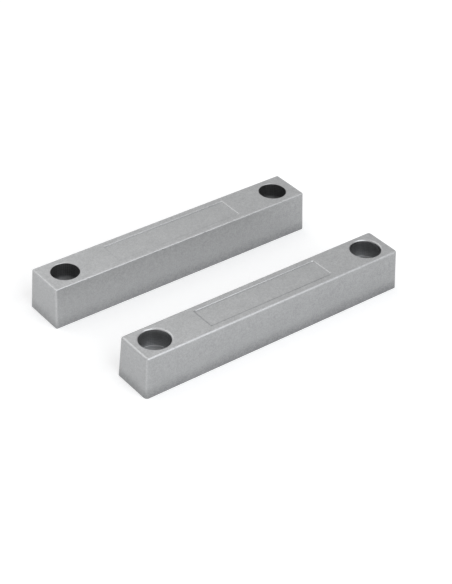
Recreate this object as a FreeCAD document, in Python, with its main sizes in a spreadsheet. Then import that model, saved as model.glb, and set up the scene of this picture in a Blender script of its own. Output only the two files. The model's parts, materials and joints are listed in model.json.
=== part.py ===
import FreeCAD, Part
import math
import os
import Sketcher
from FreeCAD import Vector

# Surface-mount magnetic contact: a switch half and a magnet half, each a slim drafted metal bar.
# Millimetres. +X runs along the bars, +Y from the switch half to the magnet half, +Z up.
# The origin is on the surface that the pair stands on, at the middle of the pair.
# Each piece is drawn about the middle of its own bar's base, and its Placement puts it in the pair.

SIZES = (
    ("bar_length", 70, "length of a bar at its base"),
    ("bar_width", 10.5, "width of a bar at its base"),
    ("bar_height", 10, "height of a bar"),
    ("pair_spacing", 31, "between the two bars' centre lines"),
    ("pair_stagger", 2, "how far the switch half stands ahead along X"),
    ("screw_setback", 5.9, "screw's axis from the end of the bar"),
    ("screw_hole_diameter", 3.6, "clearance hole for the fixing screw"),
    ("label_shift", 0.2, "middle of the label field from the bar's middle, towards -X"),
    ("end_block", 13, "solid metal between the pocket and the end of the bar"),
    ("wall_thickness", 1.75, "metal beside the pocket, at the base"),
    ("roof_thickness", 1.8, "metal above the pocket"),
    ("pocket_draft_angle", 1, "draft of the pocket's walls"),
    ("pocket_corner", 1, "radius of the pocket's corners"),
    ("resin_inset", 0.15, "how far the resin stays above the rim"),
    ("switch_draft_angle", 2.6, "draft of the outer walls"),
    ("switch_corner", 0.8, "radius of the upright edges"),
    ("switch_edge", 0.6, "radius of the top edges"),
    ("switch_well_rim", 1.75, "metal beside the well, at the base's width"),
    ("switch_well_depth", 4.4, "depth of the well for the screw's head"),
    ("switch_well_lip", 0.45, "radius of the well's mouth"),
    ("switch_label_margin", 12.6, "from the screw's axis to the label field"),
    ("switch_label_side", 2.2, "from the base's edge to the label field"),
    ("switch_label_depth", 0.18, "depth of the label field"),
    ("switch_label_corner", 0.45, "radius of the label field's corners"),
    ("switch_label_rim", 0.15, "chamfer round the label field"),
    ("magnet_draft_angle", 2.1, "draft of the outer walls"),
    ("magnet_corner", 0.4, "radius of the upright edges"),
    ("magnet_edge", 0.28, "radius of the top edges"),
    ("magnet_well_rim", 2, "metal beside the well, at the base's width"),
    ("magnet_well_depth", 4.2, "depth of the well for the screw's head"),
    ("magnet_well_lip", 0.08, "chamfer of the well's mouth"),
    ("magnet_label_margin", 12.5, "from the screw's axis to the label field"),
    ("magnet_label_side", 2.1, "from the base's edge to the label field"),
    ("magnet_label_depth", 0.15, "depth of the label field"),
    ("magnet_label_corner", 0.12, "radius of the label field's corners"),
    ("magnet_label_rim", 0.04, "chamfer round the label field"),
    ("ledge_height", 3.6, "the ledge that the board seats on, above the base"),
    ("ledge_width", 0.8, "width of that ledge"),
    ("board_thickness", 1, "circuit board"),
    ("board_clearance", 0.15, "between the board and the pocket's wall"),
    ("lead_hole_clearance", 0.1, "round a lead in its board hole"),
    ("core_hole_diameter", 0.9, "board hole for one core of the cable"),
    ("core_hole_pitch", 1.6, "between the two core holes"),
    ("outlet_diameter", 3.4, "cable outlet in the resin"),
    ("outlet_distance", 5.5, "from the left lead to the cable outlet"),
    ("glass_length", 15, "glass tube of the reed switch"),
    ("glass_diameter", 2.4, "glass tube of the reed switch"),
    ("glass_wall", 0.35, "wall of the glass tube"),
    ("glass_seal", 2, "solid glass round a lead at each end"),
    ("glass_chamfer", 0.6, "chamfer of the glass tube's ends"),
    ("glass_gap", 0.4, "between the glass tube and the board"),
    ("lead_diameter", 0.6, "round lead of a blade"),
    ("lead_reach", 5, "from the glass to where a lead passes the board"),
    ("lead_bend", 0.9, "bend radius of a lead, at its centre line"),
    ("blade_width", 1.3, "flat part of a blade"),
    ("blade_thickness", 0.25, "flat part of a blade"),
    ("blade_shoulder", 1, "where the lead widens to the blade"),
    ("blade_root", 0.6, "blade buried in the end of its lead"),
    ("blade_overlap", 1, "how far the two blades overlap"),
    ("contact_gap", 0.2, "between the open contacts"),
    ("solder_base_diameter", 1.8, "solder cone at the board"),
    ("solder_tip_diameter", 0.9, "solder cone at its tip"),
    ("solder_height", 0.6, "solder cone below the board"),
    ("magnet_diameter", 5, "bar magnet"),
    ("magnet_end_gap", 6, "from the magnet's end to the pocket's end"),
    ("magnet_roof_gap", 0.7, "between the magnet and the roof"),
    ("cradle_inset", 6, "from the magnet's end to the middle of a cradle rib"),
    ("cradle_thickness", 1.4, "cradle rib along X"),
    ("cradle_clearance", 0.1, "between a cradle rib and the magnet"),
)

# Two lengths or places this close are the same
NEAR = 1e-4

# Lengths and levels that several pieces share, as formulas of the sizes
HOLE_PITCH = "(Sizes.bar_length - 2 * Sizes.screw_setback)"
POCKET_LENGTH = "(Sizes.bar_length - 2 * Sizes.end_block)"
POCKET_WIDTH = "(Sizes.bar_width - 2 * Sizes.wall_thickness)"
POCKET_DEPTH = "(Sizes.bar_height - Sizes.roof_thickness)"
BOARD_UNDERSIDE = "(Sizes.ledge_height - Sizes.board_thickness)"
REED_AXIS = "(Sizes.ledge_height + Sizes.glass_gap + Sizes.glass_diameter / 2)"
SEAL_END = "(Sizes.glass_length / 2 - Sizes.glass_seal)"
LEAD_START = f"({SEAL_END} - Sizes.blade_root)"
LEAD_FOOT = "(Sizes.glass_length / 2 + Sizes.lead_reach)"
OUTLET_PLACE = f"(Sizes.outlet_distance - {LEAD_FOOT})"
MAGNET_LENGTH = f"({POCKET_LENGTH} - 2 * Sizes.magnet_end_gap)"
MAGNET_AXIS = f"({POCKET_DEPTH} - Sizes.magnet_roof_gap - Sizes.magnet_diameter / 2)"

doc = FreeCAD.newDocument("MagneticContact")


def make_sheet():
    """Put every driving dimension in the sheet, with its name and meaning."""
    sheet = doc.addObject("Spreadsheet::Sheet", "Sizes")
    for row, (name, size, meaning) in enumerate(SIZES, start=1):
        sheet.set(f"A{row}", name)
        sheet.set(f"B{row}", str(size))
        sheet.set(f"C{row}", meaning)
        sheet.setAlias(f"B{row}", name)
    doc.recompute()
    return sheet


sheet = make_sheet()


def value(formula):
    """Present value of a formula of the sizes."""
    return float(sheet.evalExpression(formula))


def narrowed(size, level):
    """Formula for the pocket's length or width at a level above the base."""
    return f"({size} - 2 * {level} * tan(Sizes.pocket_draft_angle))"


def new_body(label, half):
    """A piece of one half of the pair, placed with its bar."""
    body = doc.addObject("PartDesign::Body", label)
    body.Label = label
    side = {"switch": 1, "magnet": -1}[half]
    body.setExpression("Placement.Base.x", f"{side} * Sizes.pair_stagger / 2")
    body.setExpression("Placement.Base.y", f"{-side} * Sizes.pair_spacing / 2")
    return body


def origin_plane(body, role):
    return next(item for item in body.Origin.OriginFeatures if item.Role == role)


def new_sketch(body, name, role="XY_Plane", **offset):
    """A sketch on an origin plane of its body, shifted in the plane's own x, y and z."""
    sketch = body.newObject("Sketcher::SketchObject", name)
    sketch.AttachmentSupport = [(origin_plane(body, role), "")]
    sketch.MapMode = "FlatFace"
    for direction, formula in offset.items():
        sketch.setExpression(f"AttachmentOffset.Base.{direction}", formula)
    return sketch


def bind(sketch, constraint, name, formula):
    """Add a dimension to a sketch and tie it to a formula."""
    index = sketch.addConstraint(constraint)
    sketch.renameConstraint(index, name)
    sketch.setExpression(f"Constraints.{name}", formula)


def bind_point(sketch, geometry, end, name, point):
    """Place one point of a sketch by two formulas, from the sketch's origin."""
    for kind, axis, formula in zip(("DistanceX", "DistanceY"), "xy", point):
        constraint = Sketcher.Constraint(kind, -1, 1, geometry, end, value(formula))
        bind(sketch, constraint, f"{name}_{axis}", formula)


def draw_polygon(sketch, points):
    """Closed outline whose corners are pairs of formulas."""
    places = [Vector(value(across), value(along), 0) for across, along in points]
    for start, end in zip(places, places[1:] + places[:1]):
        sketch.addGeometry(Part.LineSegment(start, end), False)
    for index in range(len(points)):
        following = (index + 1) % len(points)
        sketch.addConstraint(Sketcher.Constraint("Coincident", index, 2, following, 1))
    for index, point in enumerate(points):
        bind_point(sketch, index, 1, f"corner{index + 1}", point)


def draw_rectangle(sketch, length, width):
    """Rectangle about the sketch's origin."""
    signs = ((-1, -1), (1, -1), (1, 1), (-1, 1))
    draw_polygon(sketch, [(f"{x} * {length} / 2", f"{y} * {width} / 2") for x, y in signs])


def draw_circles(sketch, diameter, *centres):
    """Circles of one diameter, their centres on the sketch's x axis."""
    radius = value(diameter) / 2
    for number, centre in enumerate(centres, start=1):
        circle = Part.Circle(Vector(value(centre), 0, 0), Vector(0, 0, 1), radius)
        index = sketch.addGeometry(circle, False)
        bind_point(sketch, index, 3, f"centre{number}", (centre, "0"))
        constraint = Sketcher.Constraint("Diameter", index, 2 * radius)
        bind(sketch, constraint, f"diameter{number}", diameter)


def add_feature(body, kind, name, sketch, **formulas):
    """A sketch-based feature whose lengths and angles are formulas."""
    feature = body.newObject(f"PartDesign::{kind}", name)
    feature.Profile = sketch
    for setting, formula in formulas.items():
        feature.setExpression(setting, formula)
    return feature


def revolve(body, kind, name, sketch, axis):
    """Turn a sketch right round one of its own axes."""
    feature = add_feature(body, kind, name, sketch)
    feature.ReferenceAxis = (sketch, [axis])
    feature.Angle = 360
    return feature


def mirror_across(body, name):
    """Repeat the body's last feature on the other side of its middle."""
    doc.recompute()
    mirrored = body.newObject("PartDesign::Mirrored", name)
    mirrored.Originals = [body.Tip]
    mirrored.MirrorPlane = (origin_plane(body, "YZ_Plane"), [""])
    body.Tip = mirrored


def lies_at(edge, level):
    box = edge.BoundBox
    return abs(box.ZMin - level) < NEAR and abs(box.ZMax - level) < NEAR


def treat_edges(body, kind, name, size, chosen):
    """Fillet or chamfer those edges of the body that a test picks out."""
    doc.recompute()
    base = body.Tip
    edges = [f"Edge{number}" for number, edge in enumerate(base.Shape.Edges, start=1) if chosen(edge)]
    feature = body.newObject(f"PartDesign::{kind}", name)
    feature.Base = (base, edges)
    setting = {"Fillet": "Radius", "Chamfer": "Size"}[kind]
    feature.setExpression(setting, size)


def round_corners(body, name, radius, length, width, draft="0", middle="0", level="0"):
    """Fillet the four upright corner edges of a drafted block or pocket.

    Its length and width are those at the given level, and its middle is along X.
    """
    slope = value(f"tan({draft})")

    def is_corner(edge):
        if lies_at(edge, edge.BoundBox.ZMin):
            return False
        for vertex in edge.Vertexes:
            inward = slope * (vertex.Z - value(level))
            across = abs(vertex.X - value(middle)) - value(length) / 2 + inward
            along = abs(vertex.Y) - value(width) / 2 + inward
            if max(abs(across), abs(along)) > NEAR:
                return False
        return True

    treat_edges(body, "Fillet", name, radius, is_corner)


def lean_walls(body, name, draft, top, is_pocket=False):
    """Lean the upright walls that end at a level inwards by a draft angle, from the lowest face up."""
    doc.recompute()
    base = body.Tip
    faces = [(f"Face{number}", face) for number, face in enumerate(base.Shape.Faces, start=1)]
    foot = min(faces, key=lambda item: item[1].CenterOfMass.z)
    walls = []
    for face_name, face in faces:
        is_upright = isinstance(face.Surface, Part.Plane) and abs(face.normalAt(0, 0).z) < NEAR
        if is_upright and abs(face.BoundBox.ZMax - value(top)) < NEAR:
            walls.append(face_name)
    feature = body.newObject("PartDesign::Draft", name)
    feature.Base = (base, walls)
    feature.NeutralPlane = (base, [foot[0]])
    feature.Reversed = is_pocket
    feature.setExpression("Angle", draft)


def add_block(body, name, length, width, height, corner, draft=None, level="0"):
    """Solid block with upright or drafted walls and rounded corners."""
    outline = new_sketch(body, f"{name}Outline", z=level)
    draw_rectangle(outline, length, width)
    add_feature(body, "Pad", name, outline, Length=height)
    if draft:
        lean_walls(body, f"{name}Draft", draft, f"{level} + {height}")
    round_corners(body, f"{name}Corners", corner, length, width, draft or "0", level=level)


def cut_pocket(body, name, length, width, depth):
    """Drafted pocket with rounded corners, from the base upwards."""
    outline = new_sketch(body, f"{name}Outline")
    draw_rectangle(outline, length, width)
    pocket = add_feature(body, "Pocket", name, outline, Length=depth)
    pocket.Reversed = True
    draft = "Sizes.pocket_draft_angle"
    lean_walls(body, f"{name}Draft", draft, depth, is_pocket=True)
    round_corners(body, f"{name}Corners", "Sizes.pocket_corner", length, width, draft)


def cut_label_field(body, half):
    """Shallow recess in the top face, with rounded corners and a chamfered rim."""
    length = f"({HOLE_PITCH} - 2 * Sizes.{half}_label_margin)"
    width = f"(Sizes.bar_width - 2 * Sizes.{half}_label_side)"
    middle = "-Sizes.label_shift"
    outline = new_sketch(body, "LabelOutline", x=middle, z="Sizes.bar_height")
    draw_rectangle(outline, length, width)
    add_feature(body, "Pocket", "LabelField", outline, Length=f"Sizes.{half}_label_depth")
    corner = f"Sizes.{half}_label_corner"
    round_corners(body, "LabelCorners", corner, length, width, middle=middle)
    top = value("Sizes.bar_height")
    reach_x = value(length) / 2 + NEAR
    reach_y = value(width) / 2 + NEAR

    def is_rim(edge):
        centre = edge.CenterOfMass
        inside = abs(centre.x - value(middle)) < reach_x and abs(centre.y) < reach_y
        return inside and lies_at(edge, top)

    treat_edges(body, "Chamfer", "LabelRim", f"Sizes.{half}_label_rim", is_rim)


def cut_screw_wells(body, half, lip):
    """Two counterbored screw holes, the mouths of their wells with a fillet or a chamfer."""
    top = value("Sizes.bar_height")
    well = f"(Sizes.bar_width - 2 * Sizes.{half}_well_rim)"
    radius = value(well) / 2
    centres = new_sketch(body, "ScrewCentres", z="Sizes.bar_height")
    places = (f"-1 * {HOLE_PITCH} / 2", f"{HOLE_PITCH} / 2")
    draw_circles(centres, "Sizes.screw_hole_diameter", *places)
    doc.recompute()
    hole = add_feature(body, "Hole", "ScrewHoles", centres)
    hole.ThreadType = "None"
    hole.DepthType = "ThroughAll"
    hole.HoleCutType = "Counterbore"
    hole.HoleCutCustomValues = True
    hole.setExpression("Diameter", "Sizes.screw_hole_diameter")
    hole.setExpression("HoleCutDiameter", well)
    hole.setExpression("HoleCutDepth", f"Sizes.{half}_well_depth")

    def is_mouth(edge):
        round_edge = isinstance(edge.Curve, Part.Circle)
        return round_edge and abs(edge.Curve.Radius - radius) < NEAR and lies_at(edge, top)

    treat_edges(body, lip, "WellLips", f"Sizes.{half}_well_lip", is_mouth)


def make_housing(half, lip):
    """Drafted casting with rounded edges, a label field, screw wells and an open base."""
    body = new_body(f"{half}_housing", half)
    top = value("Sizes.bar_height")
    add_block(body, "Bar", "Sizes.bar_length", "Sizes.bar_width", "Sizes.bar_height",
              f"Sizes.{half}_corner", f"Sizes.{half}_draft_angle")
    edge_radius = f"Sizes.{half}_edge"
    treat_edges(body, "Fillet", "TopEdges", edge_radius, lambda edge: lies_at(edge, top))
    cut_label_field(body, half)
    cut_screw_wells(body, half, lip)
    return body


def make_switch_housing():
    """The pocket is stepped: its wide mouth ends at the ledge that the board seats on."""
    body = make_housing("switch", "Fillet")
    cut_pocket(body, "Mouth", POCKET_LENGTH, POCKET_WIDTH, "Sizes.ledge_height")
    cut_pocket(body, "Chamber", f"({POCKET_LENGTH} - 2 * Sizes.ledge_width)",
               f"({POCKET_WIDTH} - 2 * Sizes.ledge_width)", POCKET_DEPTH)
    return body


def make_magnet_housing():
    """Two ribs under the roof cradle the bar magnet."""
    body = make_housing("magnet", "Chamfer")
    cut_pocket(body, "Pocket", POCKET_LENGTH, POCKET_WIDTH, POCKET_DEPTH)
    rib_height = f"({POCKET_DEPTH} - {MAGNET_AXIS})"
    rib_middle = f"({POCKET_DEPTH} + {MAGNET_AXIS}) / 2"
    for number, side in enumerate((-1, 1), start=1):
        place = f"{side} * ({MAGNET_LENGTH} / 2 - Sizes.cradle_inset)"
        outline = new_sketch(body, f"RibOutline{number}", "YZ_Plane", y=rib_middle, z=place)
        draw_rectangle(outline, POCKET_WIDTH, rib_height)
        rib = add_feature(body, "Pad", f"Rib{number}", outline, Length="Sizes.cradle_thickness")
        rib.SideType = "Symmetric"
        ring = new_sketch(body, f"SaddleOutline{number}", "YZ_Plane", y=MAGNET_AXIS, z=place)
        draw_circles(ring, "(Sizes.magnet_diameter + 2 * Sizes.cradle_clearance)", "0")
        saddle = add_feature(body, "Pocket", f"Saddle{number}", ring,
                             Length="Sizes.cradle_thickness")
        saddle.SideType = "Symmetric"
    return body


def make_board():
    """Board that fills the mouth up to its clearance, with holes for the leads and cable cores."""
    body = new_body("carrier_board", "switch")
    gap = "2 * Sizes.board_clearance"
    length = f"({narrowed(POCKET_LENGTH, 'Sizes.ledge_height')} - {gap})"
    width = f"({narrowed(POCKET_WIDTH, 'Sizes.ledge_height')} - {gap})"
    add_block(body, "Board", length, width, "Sizes.board_thickness",
              "Sizes.pocket_corner - Sizes.board_clearance", level=BOARD_UNDERSIDE)
    lead_hole = "(Sizes.lead_diameter + 2 * Sizes.lead_hole_clearance)"
    leads = (f"-1 * {LEAD_FOOT}", LEAD_FOOT)
    cores = [f"{OUTLET_PLACE} + {side} * Sizes.core_hole_pitch / 2" for side in (-1, 1)]
    holes = (("LeadHoles", lead_hole, leads), ("CoreHoles", "Sizes.core_hole_diameter", cores))
    for name, diameter, centres in holes:
        circles = new_sketch(body, f"{name}Outline", z=BOARD_UNDERSIDE)
        draw_circles(circles, diameter, *centres)
        drilled = add_feature(body, "Pocket", name, circles, Length="Sizes.board_thickness")
        drilled.Reversed = True
    return body


def make_glass_tube():
    """Tube drawn down to solid glass round the lead at each end."""
    body = new_body("reed_glass_tube", "switch")
    section = new_sketch(body, "Section", "XZ_Plane", y=REED_AXIS)
    end = "Sizes.glass_length / 2"
    lead = "Sizes.lead_diameter / 2"
    outer = "Sizes.glass_diameter / 2"
    inner = f"{outer} - Sizes.glass_wall"
    right = ((end, outer), (end, lead), (SEAL_END, lead), (SEAL_END, inner))
    left = [(f"-1 * {across}", radius) for across, radius in reversed(right)]
    draw_polygon(section, [*right, *left])
    revolve(body, "Revolution", "Tube", section, "H_Axis")
    radius = value(outer)
    half_length = value(end)

    def is_outer_end(edge):
        at_end = abs(abs(edge.CenterOfMass.x) - half_length) < NEAR
        return at_end and abs(edge.Curve.Radius - radius) < NEAR

    treat_edges(body, "Chamfer", "TubeEnds", "Sizes.glass_chamfer", is_outer_end)
    return body


def draw_lead_path(sketch, side):
    """Centre line of a lead: out along the axis, round the bend and down to the solder's tip."""
    out = f"{side} * ({LEAD_FOOT} - Sizes.lead_bend)"
    foot = f"{side} * {LEAD_FOOT}"
    start = (f"{side} * {LEAD_START}", REED_AXIS)
    bend_start = (out, REED_AXIS)
    bend_end = (foot, f"({REED_AXIS} - Sizes.lead_bend)")
    tail = (foot, f"({BOARD_UNDERSIDE} - Sizes.solder_height)")
    places = [Vector(value(x), value(y), 0) for x, y in (start, bend_start, bend_end, tail)]
    centre = Vector(places[1].x, places[2].y, 0)
    radius = value("Sizes.lead_bend")
    from_angle, to_angle = (0, math.pi / 2) if side > 0 else (math.pi / 2, math.pi)
    circle = Part.Circle(centre, Vector(0, 0, 1), radius)
    sketch.addGeometry(Part.LineSegment(places[0], places[1]), False)
    sketch.addGeometry(Part.ArcOfCircle(circle, from_angle, to_angle), False)
    sketch.addGeometry(Part.LineSegment(places[2], places[3]), False)
    arc_start, arc_end = (2, 1) if side > 0 else (1, 2)
    sketch.addConstraint(Sketcher.Constraint("Tangent", 0, 2, 1, arc_start))
    sketch.addConstraint(Sketcher.Constraint("Tangent", 1, arc_end, 2, 1))
    sketch.addConstraint(Sketcher.Constraint("Horizontal", 0))
    sketch.addConstraint(Sketcher.Constraint("Vertical", 2))
    bind(sketch, Sketcher.Constraint("Radius", 1, radius), "bend_radius", "Sizes.lead_bend")
    bind_point(sketch, 0, 1, "start", start)
    bind_point(sketch, 2, 2, "tail", tail)


def make_reed_blade(label, side):
    """Blade with its bent round lead. The two blades overlap, one above and one below the gap."""
    body = new_body(label, "switch")
    path = new_sketch(body, "LeadPath", "XZ_Plane")
    draw_lead_path(path, side)
    section = new_sketch(body, "LeadSection", "YZ_Plane", y=REED_AXIS, z=f"{side} * {LEAD_START}")
    draw_circles(section, "Sizes.lead_diameter", "0")
    lead = add_feature(body, "AdditivePipe", "Lead", section)
    lead.Spine = (path, ["Edge1", "Edge2", "Edge3"])
    thin = "Sizes.lead_diameter / 2"
    wide = "Sizes.blade_width / 2"
    tip = "-Sizes.blade_overlap / 2"
    shoulder = f"({LEAD_START} - Sizes.blade_shoulder)"
    upper = ((SEAL_END, thin), (LEAD_START, thin), (shoulder, wide), (tip, wide))
    lower = [(across, f"-1 * {half_width}") for across, half_width in reversed(upper)]
    outline = new_sketch(body, "BladeOutline", z=f"{REED_AXIS} + {side} * Sizes.contact_gap / 2")
    draw_polygon(outline, [(f"{side} * {across}", width) for across, width in (*upper, *lower)])
    blade = add_feature(body, "Pad", "Blade", outline, Length="Sizes.blade_thickness")
    blade.Reversed = side < 0
    return body


def make_solder_joints():
    """A cone of solder round each lead, on the board's underside."""
    body = new_body("solder_joints", "switch")
    section = new_sketch(body, "Section", "XZ_Plane", x=LEAD_FOOT, y=BOARD_UNDERSIDE)
    lead = "Sizes.lead_diameter / 2"
    tip_level = "-Sizes.solder_height"
    points = ((lead, "0"), ("Sizes.solder_base_diameter / 2", "0"),
              ("Sizes.solder_tip_diameter / 2", tip_level), (lead, tip_level))
    draw_polygon(section, points)
    revolve(body, "Revolution", "Cone", section, "V_Axis")
    mirror_across(body, "OtherCone")
    return body


def add_resin(body, height):
    """Resin that fills the pocket's mouth from its inset up to a level."""
    level = "Sizes.resin_inset"
    add_block(body, "Resin", narrowed(POCKET_LENGTH, level), narrowed(POCKET_WIDTH, level),
              f"{height} - {level}", "Sizes.pocket_corner", "Sizes.pocket_draft_angle", level)


def make_switch_potting():
    """Resin under the board, with the cable outlet and the beds of the solder joints."""
    body = new_body("switch_potting", "switch")
    add_resin(body, BOARD_UNDERSIDE)
    outlet = new_sketch(body, "OutletOutline")
    draw_circles(outlet, "Sizes.outlet_diameter", OUTLET_PLACE)
    bore = add_feature(body, "Pocket", "Outlet", outlet, Length=BOARD_UNDERSIDE)
    bore.Reversed = True
    section = new_sketch(body, "BedSection", "XZ_Plane", x=LEAD_FOOT, y=BOARD_UNDERSIDE)
    points = (("0", "0"), ("Sizes.solder_base_diameter / 2", "0"),
              ("Sizes.solder_tip_diameter / 2", "-Sizes.solder_height"),
              ("0", "-Sizes.solder_height"))
    draw_polygon(section, points)
    revolve(body, "Groove", "Bed", section, "V_Axis")
    mirror_across(body, "OtherBed")
    return body


def make_bar_magnet():
    body = new_body("bar_magnet", "magnet")
    section = new_sketch(body, "Section", "YZ_Plane", y=MAGNET_AXIS)
    draw_circles(section, "Sizes.magnet_diameter", "0")
    rod = add_feature(body, "Pad", "Rod", section, Length=MAGNET_LENGTH)
    rod.SideType = "Symmetric"
    return body


def make_magnet_potting():
    """Resin up to the magnet's axis, so that the magnet is bedded to half its height."""
    body = new_body("magnet_potting", "magnet")
    add_resin(body, MAGNET_AXIS)
    section = new_sketch(body, "TroughSection", "YZ_Plane", y=MAGNET_AXIS)
    draw_circles(section, "Sizes.magnet_diameter", "0")
    trough = add_feature(body, "Pocket", "Trough", section, Length=MAGNET_LENGTH)
    trough.SideType = "Symmetric"
    return body


def check_document():
    """Stop at any object that failed to build."""
    doc.recompute()
    for item in doc.Objects:
        if "Invalid" in item.State or "Error" in item.State:
            raise RuntimeError(f"{item.Label} failed: {item.State}")


def export(piece, solids=1):
    """Write a piece that is whole and valid to its own file."""
    shape = piece.Shape
    if shape.isNull() or not shape.isValid() or len(shape.Solids) != solids:
        raise RuntimeError(f"{piece.Label} has no valid shape")
    shape.exportStep(f"parts/{piece.Label}.step")
    print(f"{piece.Label}: {shape.Volume:.3f} mm3")


single_pieces = (
    make_switch_housing(),
    make_board(),
    make_glass_tube(),
    make_reed_blade("reed_blade_left", -1),
    make_reed_blade("reed_blade_right", 1),
    make_switch_potting(),
    make_magnet_housing(),
    make_bar_magnet(),
    make_magnet_potting(),
)
solder_joints = make_solder_joints()
check_document()
os.makedirs("parts", exist_ok=True)
for piece in single_pieces:
    export(piece)
export(solder_joints, solids=2)
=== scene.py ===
import json
import math

import bpy
from mathutils import Matrix, Vector


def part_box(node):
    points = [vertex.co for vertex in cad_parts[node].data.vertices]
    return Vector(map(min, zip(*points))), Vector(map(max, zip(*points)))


# Looks of the surface-mount magnetic contact: satin cast housings on a pale floor.
# Metres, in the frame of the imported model. Sizes inside the materials are in millimetres.

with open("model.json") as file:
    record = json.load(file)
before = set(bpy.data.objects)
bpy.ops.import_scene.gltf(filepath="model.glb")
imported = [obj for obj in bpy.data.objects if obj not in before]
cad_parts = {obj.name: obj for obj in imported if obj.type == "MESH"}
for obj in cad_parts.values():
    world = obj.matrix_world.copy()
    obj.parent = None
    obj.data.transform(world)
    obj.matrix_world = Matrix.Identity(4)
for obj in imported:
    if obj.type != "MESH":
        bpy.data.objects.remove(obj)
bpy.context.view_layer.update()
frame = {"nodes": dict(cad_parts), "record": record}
nodes = frame["nodes"]
mounts = {mount["name"]: mount for mount in frame["record"]["mounts"]}

MM = 0.001
WHITE = (1, 1, 1, 1)

# The photograph's camera, fitted to the corners of both bars. It aims at the middle of the rear bar's
# base, and is then moved across and up. The sensor's width is for the longer side of the picture.
IMAGE_LONG_SIDE = 584
FOCAL_PIXELS = 1575.24
SENSOR_WIDTH = 36.0
VIEW_AZIMUTH = math.radians(-38.774)
VIEW_ELEVATION = math.radians(35.664)
VIEW_ROLL = math.radians(2.231)
VIEW_DISTANCE = 364.996 * MM
VIEW_OFFSET = Vector((12.405, -6.108)) * MM
CLIP_START = 10 * MM

# Shape of the bars besides what the frame gives, for the masks of their metal: draft in degrees, length
# and width of the label field, its shift along the bar, and sizes of the screw wells.
LABEL_SHIFT = -0.2
SWITCH_SHAPE = {
    "draft": 2.6,
    "label": (33.0, 6.1),
    "well_radius": 3.5,
    "well_depth": 4.4,
    "well_lip": 0.45,
}
MAGNET_SHAPE = {
    "draft": 2.1,
    "label": (33.2, 6.3),
    "well_radius": 3.25,
    "well_depth": 4.2,
    "well_lip": 0.08,
}

# Metal of both bars. Its tone goes from 0, dull, to 1, bright: that of the grain, with the others added.
# Each pair of numbers goes from the low end of what it names to the high one.
DULL_METAL = (0.16, 0.164, 0.168)
BRIGHT_METAL = (0.568, 0.572, 0.576)
GRAIN_SIZE = 0.3
GRAIN_DEPTH = 0.006
GRAIN_TONE = (0.40, 0.60)
GRAIN_ROUGHNESS = (-0.03, 0.03)
GRAIN_MARGIN = 0.2
SPECKLE_SIZE = 0.9
SPECKLE_TONE = (-0.03, 0.03)
CLOUD_SIZE = 5.0
CLOUD_TONE = (-0.025, 0.025)
CLOUD_ROUGHNESS = (0.33, 0.40)
# Painted shade: walls a little darker low than high, and the bar lighter at its left end than at its
# right.
HEIGHT_SHADE = (-0.015, 0.015)
LENGTH_SHADE = (0.04, -0.04)
# Height over which the painted shade at the foot of the walls fades out.
FOOT_SHADE_HEIGHT = 3.3
# Width of the worn edges, which are rougher, lighter as wear and lighter still as a painted highlight.
WEAR_AND_SHEEN_WIDTH = 0.7
RUBBED_ROUGHNESS = 0.1
# Width of the painted shade and highlights on the walls of the label field.
LABEL_WALL_WIDTH = 0.4
NICK_REACH = 0.4
NICK_TONE = -0.3
RING_PITCH = 0.45
RING_TONE = (0.3, 0.7)
WELL_SPECKLE = (-0.15, 0.15)
WELL_ROUGHNESS = 0.12

# Looks that differ between the bars:
# the painted shade at the foot of the walls, the wear and painted highlight on the worn edges, and the
# painted highlight on the upright ones;
# the painted shade and highlight added on the left and near walls of the label field, then on its far and
# right ones, and the painted highlight on its right one;
# the dark and light shade of the tool rings on the wells' walls and floors, and the height over which the
# wall takes on the floor's lighter shade as a painted glow of light bounced off the floor;
# the places of small dark nicks, from the middle of the bar's base.
SWITCH_LOOK = {
    "foot": -0.24,
    "edges": 0.03,
    "upright_edges": 0.14,
    "label_wall_shade_and_highlight": (-0.34, -0.12),
    "label_end_highlight": 0.22,
    "well_wall": ((0.13, 0.133, 0.137), (0.27, 0.274, 0.28)),
    "well_floor": ((0.40, 0.404, 0.41), (0.62, 0.624, 0.63)),
    "well_floor_bounce": 0.2,
    "nicks": ((-27.3, -4.8, 9.9), (-25.3, 1.4, 9.9)),
}
MAGNET_LOOK = {
    "foot": -0.17,
    "edges": 0.12,
    "upright_edges": 0.1,
    "label_wall_shade_and_highlight": (-0.1, 0.1),
    "label_end_highlight": 0.25,
    "well_wall": ((0.05, 0.051, 0.053), (0.14, 0.142, 0.146)),
    "well_floor": ((0.26, 0.262, 0.266), (0.44, 0.442, 0.446)),
    "well_floor_bounce": 1.2,
    "nicks": ((5.5, -4.9, 9.9), (7.0, 4.9, 9.9)),
}


def base_middle(node):
    """Middle of a node's box, at its foot."""
    lowest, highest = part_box(node)
    middle = (lowest + highest) / 2
    return Vector((middle.x, middle.y, lowest.z))


def make_camera():
    """Camera of the photograph."""
    back = Vector((math.sin(VIEW_AZIMUTH) * math.cos(VIEW_ELEVATION),
                   -math.cos(VIEW_AZIMUTH) * math.cos(VIEW_ELEVATION),
                   math.sin(VIEW_ELEVATION)))
    level_right = Vector((math.cos(VIEW_AZIMUTH), math.sin(VIEW_AZIMUTH), 0))
    level_up = back.cross(level_right)
    right = math.cos(VIEW_ROLL) * level_right + math.sin(VIEW_ROLL) * level_up
    up = back.cross(right)
    offset = VIEW_OFFSET.x * right + VIEW_OFFSET.y * up
    camera = bpy.data.objects.new("camera", bpy.data.cameras.new("camera"))
    camera.data.sensor_width = SENSOR_WIDTH
    camera.data.lens = FOCAL_PIXELS * SENSOR_WIDTH / IMAGE_LONG_SIDE
    camera.data.clip_start = CLIP_START
    camera.matrix_world = Matrix((right, up, back)).transposed().to_4x4()
    camera.location = base_middle("magnet_housing") + VIEW_DISTANCE * back + offset
    bpy.context.scene.collection.objects.link(camera)
    bpy.context.scene.camera = camera


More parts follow.
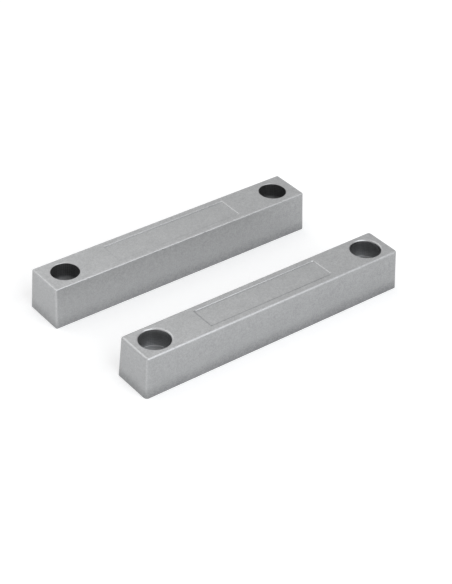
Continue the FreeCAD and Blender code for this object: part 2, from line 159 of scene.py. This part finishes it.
class Shader:
    """Node tree of a material or world, with short calls to add and join nodes."""

    def __init__(self, owner):
        owner.use_nodes = True
        self.owner = owner
        self.tree = owner.node_tree
        self.tree.nodes.clear()

    def add(self, kind, **settings):
        """A node. Settings name its properties, or its inputs with spaces as _."""
        node = self.tree.nodes.new(f"ShaderNode{kind}")
        for name, setting in settings.items():
            if hasattr(node, name):
                setattr(node, name, setting)
            else:
                self.set(node, name.replace("_", " "), setting)
        return node

    def set(self, node, name, setting):
        """Give an input a constant, or join it to another node's output."""
        socket = node.inputs[name]
        if isinstance(setting, bpy.types.Node):
            setting = setting.outputs[0]
        if isinstance(setting, bpy.types.NodeSocket):
            self.tree.links.new(setting, socket)
        else:
            socket.default_value = setting

    def math(self, operation, *values):
        """Result of an operation on outputs or numbers."""
        node = self.add("Math", operation=operation)
        for index, setting in enumerate(values):
            self.set(node, index, setting)
        return node.outputs[0]

    def total(self, *values):
        """Sum of several outputs or numbers."""
        result = values[0]
        for setting in values[1:]:
            result = self.math("ADD", result, setting)
        return result

    def difference(self, first, second):
        return self.math("SUBTRACT", first, second)

    def product(self, first, second):
        return self.math("MULTIPLY", first, second)

    def coordinates(self, origin=(0, 0, 0)):
        """Where on the object a point of its surface is, in millimetres from an origin."""
        moved = self.add("Mapping", Vector=self.add("TexCoord").outputs["Object"])
        moved.inputs["Scale"].default_value = (1 / MM, 1 / MM, 1 / MM)
        moved.inputs["Location"].default_value = [-part for part in origin]
        return moved.outputs[0]

    def scaled(self, point, scale):
        """Coordinates scaled along each axis: noise is drawn out along those with a small scale."""
        moved = self.add("Mapping", Vector=point)
        moved.inputs["Scale"].default_value = scale
        return moved.outputs[0]

    def axes(self, point):
        """The three coordinates, each by itself."""
        return self.add("SeparateXYZ", Vector=point).outputs

    def noise(self, point, size, detail=2.0):
        """Soft noise from 0 to 1 with patches about so many millimetres across."""
        return self.add("TexNoise", Vector=point, Scale=1 / size, Detail=detail).outputs[0]

    def wave(self, distance, pitch):
        """Sine wave from -1 to 1 that repeats after so many millimetres."""
        return self.math("SINE", self.product(distance, 2 * math.pi / pitch))

    def ramp(self, setting, start, end, first=0.0, last=1.0):
        """Smooth change from one level to another while the setting goes from start to end."""
        node = self.add("MapRange", interpolation_type="SMOOTHSTEP", Value=setting)
        levels = {"From Min": start, "From Max": end, "To Min": first, "To Max": last}
        for name, level in levels.items():
            node.inputs[name].default_value = level
        return node.outputs[0]

    def spread(self, noise, first, last, margin=0.25):
        """Noise made to go smoothly from one level to another, its ends cut off by a margin."""
        return self.ramp(noise, margin, 1 - margin, first, last)

    def line(self, distance, middle, reach):
        """1 where a distance has its middle value, down to 0 at so far from it."""
        away = self.math("ABSOLUTE", self.difference(distance, middle))
        return self.ramp(away, 0.0, reach, 1.0, 0.0)

    def spot(self, point, middle, reach):
        """1 at a place, down to 0 at so far from it."""
        away = self.add("VectorMath", operation="DISTANCE")
        self.set(away, 0, point)
        self.set(away, 1, middle)
        return self.ramp(away.outputs["Value"], 0.0, reach, 1.0, 0.0)

    def colour(self, factor, first, second):
        """Colour between two, each one either three numbers or an output."""
        node = self.add("Mix", data_type="RGBA", Factor=factor)
        for name, shade in (("A", first), ("B", second)):
            self.set(node, name, (*shade, 1) if isinstance(shade, tuple) else shade)
        return node.outputs["Result"]

    def bump(self, height, depth, strength=0.3):
        """Bumps of so many millimetres."""
        return self.add("Bump", Strength=strength, Distance=depth * MM, Height=height)

    def seen_directly(self):
        """1 for what the camera sees straight on, in a reflection or through glass, otherwise 0."""
        path = self.add("LightPath")
        seen = self.math("MAXIMUM", path.outputs["Is Camera Ray"], path.outputs["Is Glossy Ray"])
        return self.math("MAXIMUM", seen, path.outputs["Is Transmission Ray"])

    def finish(self, **settings):
        """The material, with a principled surface of these settings."""
        surface = self.add("BsdfPrincipled", **settings)
        self.add("OutputMaterial", Surface=surface)
        return self.owner


class HousingShader(Shader):
    """Shader of a bar's metal, with the sizes, noises and distances that its masks share."""

    def __init__(self, half, shape, look):
        super().__init__(bpy.data.materials.new(f"satin_{half}_metal"))
        node = f"{half}_housing"
        lowest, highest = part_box(node)
        self.length, self.width, self.height = (highest - lowest) / MM
        self.screws = mounts[f"{half}_screws"]["dims"]
        self.shape = shape
        self.look = look
        self.point = self.coordinates(base_middle(node) / MM)
        self.x, self.y, self.z = self.axes(self.point)
        self.grain = self.noise(self.point, GRAIN_SIZE, detail=1.0)
        self.speckle = self.noise(self.point, SPECKLE_SIZE)
        self.clouds = self.noise(self.point, CLOUD_SIZE, detail=3.0)
        to_edge, self.to_upright = self.edge_distances()
        self.from_screw = self.screw_distance()
        self.well_floor = self.height - shape["well_depth"]
        # The worn edges: rougher and lighter as wear, and lighter still as a painted highlight.
        self.wear_and_sheen = self.product(self.ramp(to_edge, WEAR_AND_SHEEN_WIDTH, 0.05),
                                   self.ramp(self.speckle, 0.3, 0.6, 0.5, 1.0))

    def edge_distances(self):
        """Distance from the nearest edge, and from the nearest upright one.

        The nearest edge is as far as the middle one of the distances from end, side and top.
        """
        lean = self.product(self.z, math.tan(math.radians(self.shape["draft"])))
        to_end = self.difference(self.length / 2, self.total(self.math("ABSOLUTE", self.x), lean))
        to_side = self.difference(self.width / 2, self.total(self.math("ABSOLUTE", self.y), lean))
        to_top = self.difference(self.height, self.z)
        nearer = self.math("MINIMUM", to_end, to_side)
        to_upright = self.math("MAXIMUM", to_end, to_side)
        to_edge = self.math("MAXIMUM", nearer, self.math("MINIMUM", to_upright, to_top))
        return to_edge, to_upright

    def screw_distance(self):
        """Distance from the axis of the nearer screw."""
        along = self.difference(self.math("ABSOLUTE", self.x), self.screws["spacing_x_mm"] / 2)
        squares = [self.product(side, side) for side in (along, self.y)]
        return self.math("SQRT", self.total(*squares))

    def label_shade_and_highlight(self):
        """Painted shade and highlights added on the walls of the label field, by the side they face."""
        half_length, half_width = (size / 2 for size in self.shape["label"])
        along = self.difference(self.x, LABEL_SHIFT)
        outwards = self.math("MAXIMUM", self.difference(self.math("ABSOLUTE", along), half_length),
                             self.difference(self.math("ABSOLUTE", self.y), half_width))
        on_wall = self.product(self.line(outwards, 0.05, LABEL_WALL_WIDTH),
                               self.ramp(self.z, self.height - 0.5, self.height - 0.3))

        # Shares of the way to the right end and to the far side
        to_right = self.math("DIVIDE", along, half_length)
        to_far = self.math("DIVIDE", self.y, half_width)
        side_shade_and_highlight = self.ramp(self.total(to_right, to_far), -0.1, 0.1, *self.look["label_wall_shade_and_highlight"])
        end_highlight = self.ramp(to_right, 0.95, 1.0, 0.0, self.look["label_end_highlight"])
        return self.product(on_wall, self.total(side_shade_and_highlight, end_highlight))

    def cast_shade(self):
        """Colour of the cast skin, with painted shade and highlights added."""
        look = self.look
        half_length = self.length / 2
        nicks = [self.product(self.spot(self.point, place, NICK_REACH), NICK_TONE)
                 for place in look["nicks"]]
        # Painted highlight along the upright edges, fading out towards the foot.
        upright = self.product(self.ramp(self.to_upright, 0.5, 0.2),
                               self.ramp(self.z, 0.3, 3.0, 0.0, look["upright_edges"]))
        tone = self.total(self.spread(self.grain, *GRAIN_TONE, GRAIN_MARGIN),
                          self.spread(self.speckle, *SPECKLE_TONE),
                          self.spread(self.clouds, *CLOUD_TONE),
                          # Worn edges, lighter as wear and as a painted highlight.
                          self.product(self.wear_and_sheen, look["edges"]),
                          self.label_shade_and_highlight(),
                          # Painted shade, darkening the foot of the walls.
                          self.ramp(self.z, 0.0, FOOT_SHADE_HEIGHT, look["foot"], 0.0),
                          # Painted shade, darker low and lighter high, then lighter at the left end than
                          # at the right.
                          self.ramp(self.z, 0.0, self.height, *HEIGHT_SHADE),
                          self.ramp(self.x, -half_length, half_length, *LENGTH_SHADE),
                          *nicks,
                          upright)
        return self.colour(tone, DULL_METAL, BRIGHT_METAL)

    def well_mask(self):
        """1 in the screw wells and in the holes below them, otherwise 0."""
        well_radius = self.shape["well_radius"]
        hole_radius = self.screws["hole_r_mm"]
        lip_level = self.height - self.shape["well_lip"]
        in_well = self.product(self.ramp(self.from_screw, well_radius + 0.03, well_radius - 0.02),
                               self.ramp(self.z, self.well_floor - 0.3, self.well_floor - 0.1))
        in_hole = self.ramp(self.from_screw, hole_radius + 0.06, hole_radius + 0.02)
        below_lip = self.ramp(self.z, lip_level + 0.1, lip_level - 2 * self.shape["well_lip"])
        return self.product(self.math("MAXIMUM", in_well, in_hole), below_lip)

    def well_shade_and_bounce(self):
        """Colour of the darker wells and holes, with faint tool rings and lighter floors."""
        rings = self.wave(self.total(self.from_screw, self.z), RING_PITCH)
        tone = self.total(self.ramp(rings, -1, 1, *RING_TONE), self.spread(self.speckle, *WELL_SPECKLE))
        # Painted bounce light: the floor's lighter shade rises up the foot of each wall.
        floor_and_bounce = self.ramp(self.z, self.well_floor + self.look["well_floor_bounce"], self.well_floor + 0.05)
        return self.colour(floor_and_bounce,
                           self.colour(tone, *self.look["well_wall"]),
                           self.colour(tone, *self.look["well_floor"]))


def make_housing_metal(half, shape, look):
    """Satin cast metal: blasted grain, faint clouds, wear and painted highlights along each edge, painted
    shade at the foot, darker wells.
    """
    shader = HousingShader(half, shape, look)
    in_well = shader.well_mask()
    roughness = shader.total(shader.spread(shader.clouds, *CLOUD_ROUGHNESS),
                             shader.spread(shader.grain, *GRAIN_ROUGHNESS, GRAIN_MARGIN),
                             shader.product(shader.wear_and_sheen, RUBBED_ROUGHNESS),
                             shader.product(in_well, WELL_ROUGHNESS))
    return shader.finish(Base_Color=shader.colour(in_well, shader.cast_shade(), shader.well_shade_and_bounce()),
                         Metallic=1.0,
                         Roughness=roughness,
                         Normal=shader.bump(shader.grain, GRAIN_DEPTH))


def make_resin():
    """Poured black resin: slightly glossy skin with a faint flow, some dust and a few pin bubbles."""
    dark_resin = (0.022, 0.022, 0.026)
    light_resin = (0.038, 0.038, 0.042)
    dust_colour = (0.07, 0.07, 0.075)
    bubble_spacing = 2.2
    shader = Shader(bpy.data.materials.new("cast_resin"))
    point = shader.coordinates()
    flow = shader.noise(point, size=6.0, detail=3.0)
    dust = shader.noise(point, size=0.4)
    bubbles = shader.add("TexVoronoi", Vector=point, Scale=1 / bubble_spacing)
    pins = shader.ramp(bubbles.outputs["Distance"], 0.10, 0.05)
    height = shader.difference(shader.product(flow, 0.8), shader.product(pins, 0.35))
    clean = shader.colour(shader.spread(flow, 0.0, 1.0, margin=0.3), dark_resin, light_resin)
    dusty = shader.colour(shader.ramp(dust, 0.62, 0.72, 0.0, 0.5), clean, dust_colour)
    return shader.finish(Base_Color=dusty,
                         Roughness=shader.spread(flow, 0.22, 0.38),
                         Normal=shader.bump(height, depth=0.08, strength=0.4))


def make_board():
    """Glass-fibre board under a green mask, its weave just showing."""
    dark_green = (0.02, 0.13, 0.06)
    light_green = (0.07, 0.26, 0.13)
    thread_pitch = 0.6
    shader = Shader(bpy.data.materials.new("green_board"))
    point = shader.coordinates()
    x, y, _ = shader.axes(point)
    weave = shader.product(shader.wave(x, thread_pitch), shader.wave(y, thread_pitch))
    clouds = shader.noise(point, size=3.0, detail=3.0)
    tone = shader.total(shader.ramp(weave, -1, 1, 0.3, 0.5), shader.spread(clouds, 0.0, 0.4))
    return shader.finish(Base_Color=shader.colour(tone, dark_green, light_green),
                         Roughness=shader.spread(clouds, 0.28, 0.42),
                         Normal=shader.bump(weave, depth=0.01))


def make_glass():
    """Clear greenish tube glass with faint draw lines."""
    dark_tint = (0.72, 0.88, 0.80)
    light_tint = (0.84, 0.95, 0.90)
    drawn_out = (0.05, 1, 1)
    shader = Shader(bpy.data.materials.new("reed_tube_glass"))
    lines = shader.noise(shader.scaled(shader.coordinates(), drawn_out), size=0.5)
    return shader.finish(Base_Color=shader.colour(lines, dark_tint, light_tint),
                         Roughness=shader.spread(lines, 0.01, 0.06),
                         Transmission_Weight=1.0,
                         IOR=1.5)


def make_reed_metal():
    """Drawn nickel-iron with a dull plating."""
    dull_plating = (0.48, 0.46, 0.42)
    bright_plating = (0.68, 0.66, 0.62)
    drawn_out = (0.08, 1, 1)
    shader = Shader(bpy.data.materials.new("reed_plating"))
    point = shader.coordinates()
    lines = shader.noise(shader.scaled(point, drawn_out), size=0.12)
    clouds = shader.noise(point, size=1.5)
    tone = shader.total(shader.spread(lines, 0.0, 0.6), shader.spread(clouds, 0.0, 0.4))
    return shader.finish(Base_Color=shader.colour(tone, dull_plating, bright_plating),
                         Metallic=1.0,
                         Roughness=shader.spread(lines, 0.26, 0.44),
                         Normal=shader.bump(lines, depth=0.004))


def make_solder():
    """Bright solder, frosted where it set last."""
    dull_solder = (0.52, 0.52, 0.54)
    bright_solder = (0.74, 0.74, 0.75)
    shader = Shader(bpy.data.materials.new("set_solder"))
    frost = shader.noise(shader.coordinates(), size=0.25, detail=3.0)
    return shader.finish(Base_Color=shader.colour(frost, dull_solder, bright_solder),
                         Metallic=1.0,
                         Roughness=shader.spread(frost, 0.18, 0.45, margin=0.35),
                         Normal=shader.bump(frost, depth=0.02, strength=0.4))


def make_magnet():
    """Cast magnet alloy, ground round its axis."""
    dull_alloy = (0.26, 0.255, 0.25)
    bright_alloy = (0.42, 0.415, 0.41)
    ground_round = (1, 0.1, 0.1)
    shader = Shader(bpy.data.materials.new("ground_magnet"))
    point = shader.coordinates()
    lines = shader.noise(shader.scaled(point, ground_round), size=0.15)
    pits = shader.noise(point, size=0.5, detail=3.0)
    tone = shader.difference(shader.spread(lines, 0.2, 1.0), shader.ramp(pits, 0.6, 0.75, 0.0, 0.6))
    return shader.finish(Base_Color=shader.colour(tone, dull_alloy, bright_alloy),
                         Metallic=1.0,
                         Roughness=shader.spread(lines, 0.30, 0.48),
                         Normal=shader.bump(tone, depth=0.01))


def paint(material, *names):
    """Give nodes their finished material in place of the plain one."""
    for name in names:
        slots = nodes[name].data.materials
        slots.clear()
        slots.append(material)


def make_floor():
    """Wide pale floor that shows white to the camera and keeps the object's shadow.

    It lies a hair below the bars, and glows more towards the horizon, where the lamps reach less.
    """
    half = 1.5
    level = -0.01 * MM
    pale = (0.88, 0.88, 0.88, 1)
    near_glow = 0.34
    far_glow = 0.62
    glow_reach = 800
    mesh = bpy.data.meshes.new("floor")
    corners = [(-half, -half, level), (half, -half, level), (half, half, level), (-half, half, level)]
    mesh.from_pydata(corners, [], [(0, 1, 2, 3)])
    floor = bpy.data.objects.new("floor", mesh)
    bpy.context.scene.collection.objects.link(floor)
    material = bpy.data.materials.new("pale_floor")
    shader = Shader(material)
    nearness = shader.spot(shader.coordinates(), (0, 0, 0), glow_reach)
    glow = shader.product(shader.seen_directly(), shader.ramp(nearness, 0.0, 1.0, far_glow, near_glow))
    both = shader.add("AddShader")
    shader.set(both, 0, shader.add("BsdfDiffuse", Color=pale))
    shader.set(both, 1, shader.add("Emission", Color=WHITE, Strength=glow))
    shader.add("OutputMaterial", Surface=both)
    mesh.materials.append(material)


def make_world(strength):
    """Even white surroundings, plain white where the camera or a reflection sees them."""
    world = bpy.data.worlds.new("studio")
    bpy.context.scene.world = world
    shader = Shader(world)
    level = shader.add("MapRange", Value=shader.seen_directly(), To_Min=strength, To_Max=1.0)
    background = shader.add("Background", Color=WHITE, Strength=level)
    shader.add("OutputWorld", Surface=background)


def make_lamp(name, azimuth, elevation, power, colour=(1, 1, 1)):
    """Square soft light that faces the pair, so many degrees round from +X and up from the floor."""
    distance = 0.6
    size = 0.6
    turn = math.radians(azimuth)
    rise = math.radians(elevation)
    way = Vector((math.cos(turn) * math.cos(rise), math.sin(turn) * math.cos(rise), math.sin(rise)))
    light = bpy.data.lights.new(name, "AREA")
    light.shape = "SQUARE"
    light.size = size
    light.energy = power
    light.color = colour
    lamp = bpy.data.objects.new(name, light)
    lamp.location = distance * way
    lamp.rotation_euler = (-way).to_track_quat("-Z", "Y").to_euler()
    bpy.context.scene.collection.objects.link(lamp)


make_camera()
make_floor()
make_world(strength=0.45)
make_lamp("back_softbox", azimuth=106, elevation=55, power=0.93)
make_lamp("front_softbox", azimuth=277, elevation=38, power=2.05, colour=(0.95, 0.97, 1))

paint(make_housing_metal("switch", SWITCH_SHAPE, SWITCH_LOOK), "switch_housing")
paint(make_housing_metal("magnet", MAGNET_SHAPE, MAGNET_LOOK), "magnet_housing")
paint(make_resin(), "switch_potting", "magnet_potting")
paint(make_board(), "carrier_board")
paint(make_glass(), "reed_glass_tube")
paint(make_reed_metal(), "reed_blade_left", "reed_blade_right")
paint(make_solder(), "solder_joints")
paint(make_magnet(), "bar_magnet")

bpy.context.scene.view_settings.view_transform = "Standard"
